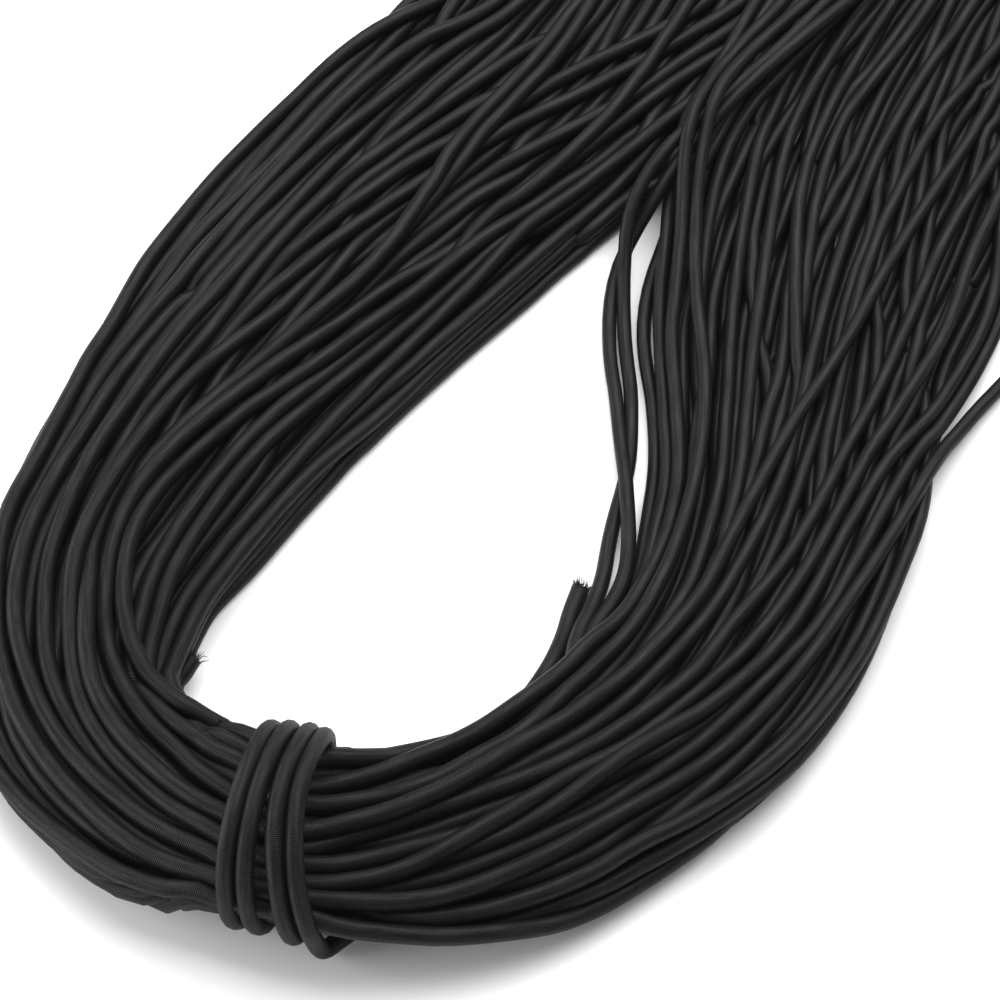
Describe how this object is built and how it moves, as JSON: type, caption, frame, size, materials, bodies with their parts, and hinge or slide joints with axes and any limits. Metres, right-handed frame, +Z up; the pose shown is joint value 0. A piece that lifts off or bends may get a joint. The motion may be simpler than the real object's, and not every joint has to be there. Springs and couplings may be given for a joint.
{
  "type": "tied hank of elastic cord",
  "caption": "Long hank of round fabric-covered elastic cord, lying flat, its end loop bound with wraps of the same cord and one cut end loose inside the loop.",
  "frame": {"origin": "bottom centre of the lying hank: the middle of its box, on the plane that it rests on", "axes": "+Z up; +Y along the hank's long axis, away from its tied end; +X across the hank"},
  "size_m": [0.1138, 0.2834, 0.024],
  "materials": {
    "covered_cord": "satin black yarn covering, finely ribbed across the cord"
  },
  "bodies": {
    "root": {"hank": "covered_cord", "tie": "covered_cord", "loose_end": "covered_cord"}
  },
  "joints": []
}
